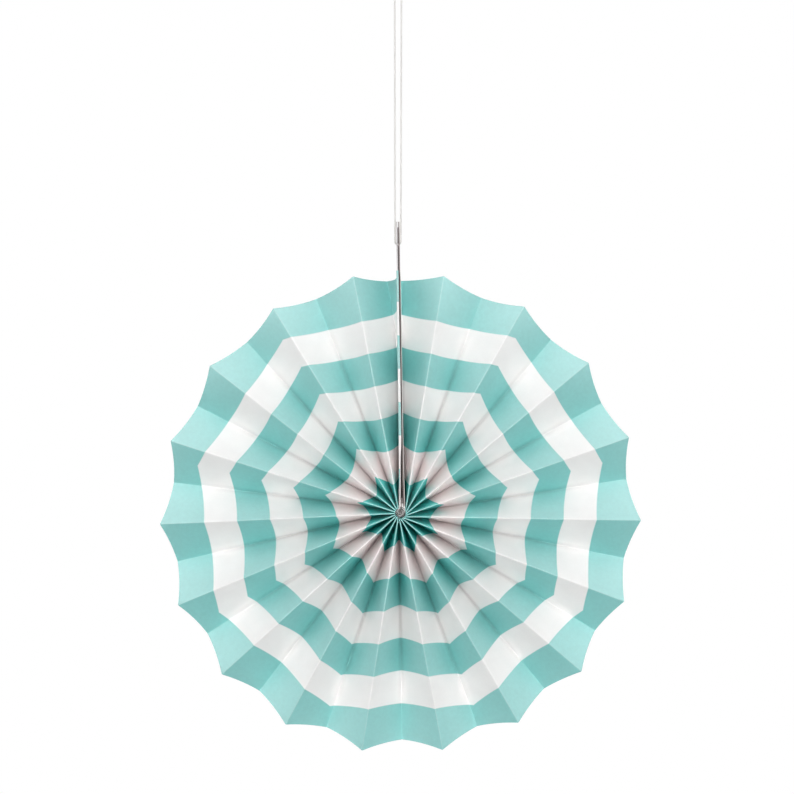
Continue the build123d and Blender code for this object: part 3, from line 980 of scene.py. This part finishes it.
class PAPERFAN_OT_studio(bpy.types.Operator):
    """Builds the floor, the lights, the white surroundings and the camera"""

    bl_idname = "paperfan.studio"
    bl_label = "Studio"

    def execute(self, context):
        scene = context.scene
        studio = scene.fan_studio
        hub = hub_place()
        self.floor(studio, hub)
        self.surroundings(scene, studio)
        for name, power, size, place in LAMPS:
            self.lamp(name, getattr(studio, power), size, hub + Vector(place), hub)
        # bright panels that only show as the sheen on the sides of the pleats that face up
        for number, (aside, rise, share) in enumerate(SHEEN_PANELS):
            place = hub + Vector((aside, -0.8, rise))
            sheen = self.lamp(f"sheen_panel_{number}", studio.sheen_power * share, 1.2, place, hub)
            sheen.visible_diffuse = False
        self.camera(scene, studio, hub)
        scene.view_settings.view_transform = "Standard"
        return {"FINISHED"}

    def white_for_viewer(self, tree, strength):
        """A share that is 1 where the camera, a reflection or glass looks at a surface."""
        rays = add_node(tree, "LightPath").node.outputs
        seen = add_node(tree, "Math", (rays["Is Camera Ray"], rays["Is Glossy Ray"]), operation="MAXIMUM")
        seen = add_node(tree, "Math", (seen, rays["Is Transmission Ray"]), operation="MAXIMUM")
        return add_node(tree, "Math", (seen, strength), operation="MULTIPLY")

    def floor(self, studio, hub):
        """A pale plain floor that shows a faint shadow under the fan and is plain white beyond it."""
        reach = 3.0
        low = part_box("pleated_paper")[0][2] - studio.floor_drop
        corners = [(-reach, -reach), (reach, -reach), (reach, reach), (-reach, reach)]
        vertices = [(hub.x + x, hub.y + y, low) for x, y in corners]
        ground = add_object("floor", vertices, [(0, 1, 2, 3)], smooth=False)
        material, tree, shader = new_material("white_studio_floor")
        shader.inputs["Base Color"].default_value = solid(studio.floor_colour)
        shader.inputs["Roughness"].default_value = 0.9
        glow = add_node(tree, "Emission", (solid(studio.background), 1.0))
        place = add_node(tree, "TexCoord", output="Object")
        below = (hub.x, hub.y, low)
        from_fan = add_node(tree, "VectorMath", (place, below), "Value", operation="DISTANCE")
        plain = add_node(tree, "MapRange", (from_fan, 0.3, 0.9, 0.75, 1.0), **SMOOTH)
        blend = add_node(tree, "MixShader", (self.white_for_viewer(tree, plain), shader.outputs[0], glow))
        tree.links.new(blend, tree.nodes["Material Output"].inputs["Surface"])
        ground.data.materials.append(material)

    def surroundings(self, scene, studio):
        """White to the eye, and an even soft light to the object."""
        world = bpy.data.worlds.new("white_studio")
        world.use_nodes = True
        scene.world = world
        tree = world.node_tree
        back = tree.nodes["Background"]
        back.inputs["Color"].default_value = solid(studio.background)
        seen = self.white_for_viewer(tree, 1.0 - studio.sky_strength)
        bright = add_node(tree, "Math", (seen, studio.sky_strength), operation="ADD")
        tree.links.new(bright, back.inputs["Strength"])

    def lamp(self, name, power, size, place, target):
        """A soft square light that looks at the fan."""
        data = bpy.data.lights.new(name, "AREA")
        data.energy = power
        data.size = size
        lamp = bpy.data.objects.new(name, data)
        lamp.location = place
        lamp.rotation_euler = (target - place).to_track_quat("-Z", "Y").to_euler()
        lamp.visible_camera = False
        bpy.context.scene.collection.objects.link(lamp)
        return lamp

    def camera(self, scene, studio, hub):
        """Level and square on, as the photograph was taken."""
        pleats = Pleats(scene.fan_sizes)
        data = bpy.data.cameras.new("camera")
        data.sensor_width = 36.0
        data.lens = data.sensor_width * studio.camera_distance / studio.view_width
        camera = bpy.data.objects.new("camera", data)
        rim_y = hub.y + pleats.fold_y(pleats.last_fold // 2 + 1, scene.fan_sizes.rim_radius)
        camera.location = (studio.view_centre_x, rim_y - studio.camera_distance, studio.view_centre_z)
        camera.rotation_euler = (pi / 2, 0, 0)
        scene.collection.objects.link(camera)
        scene.camera = camera


class PAPERFAN_PT_panel(bpy.types.Panel):
    """Lists the pieces in the order they are built"""

    bl_idname = "PAPERFAN_PT_panel"
    bl_label = "Paper Fan"
    bl_space_type = "VIEW_3D"
    bl_region_type = "UI"
    bl_category = "Paper Fan"

    def draw(self, context):
        for operator in OPERATORS:
            self.layout.operator(operator.bl_idname)


SETTINGS = {
    "fan_sizes": FanSizes,
    "fan_print": PrintSizes,
    "fan_colours": FanColours,
    "fan_twists": TwistSizes,
    "fan_studio": StudioSettings,
}
OPERATORS = (
    PAPERFAN_OT_pleated_sheet,
    PAPERFAN_OT_end_cards,
    PAPERFAN_OT_seam_tape,
    PAPERFAN_OT_binding_thread,
    PAPERFAN_OT_string_loop,
    PAPERFAN_OT_studio,
)
CLASSES = (*SETTINGS.values(), *OPERATORS, PAPERFAN_PT_panel)


def register():
    """Registers the classes and hangs the settings on the scene."""
    for entry in CLASSES:
        bpy.utils.register_class(entry)
    for name, group in SETTINGS.items():
        setattr(bpy.types.Scene, name, PointerProperty(type=group))


def unregister():
    """Undoes register."""
    for name in SETTINGS:
        delattr(bpy.types.Scene, name)
    for entry in reversed(CLASSES):
        bpy.utils.unregister_class(entry)


def main():
    register()
    bpy.ops.paperfan.pleated_sheet()
    bpy.ops.paperfan.end_cards()
    bpy.ops.paperfan.seam_tape()
    bpy.ops.paperfan.binding_thread()
    bpy.ops.paperfan.string_loop()
    bpy.ops.paperfan.studio()


if __name__ == "__main__":
    main()
